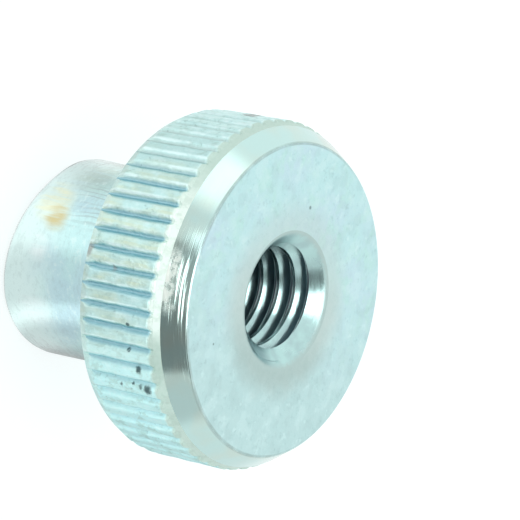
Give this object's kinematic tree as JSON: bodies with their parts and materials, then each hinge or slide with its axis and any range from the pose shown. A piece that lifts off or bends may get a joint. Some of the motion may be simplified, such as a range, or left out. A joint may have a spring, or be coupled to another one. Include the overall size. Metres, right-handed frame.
{
  "type": "knurled thumb nut",
  "caption": "Round thumb nut with a straight-knurled head, a plain collar and a countersunk thread right through, in zinc-plated steel.",
  "frame": {"origin": "centre of the collar's end face, on the thread's axis", "axes": "+Z along the thread's axis, from the collar's end to the head's flat top; +X through the middle of one crest of the knurl"},
  "size_m": [0.0175, 0.0174, 0.0142],
  "materials": {
    "zinc_plated_steel": "matte clear zinc plating with a faint blue-green cast"
  },
  "bodies": {
    "root": {"knurled_nut": "zinc_plated_steel"}
  },
  "joints": []
}
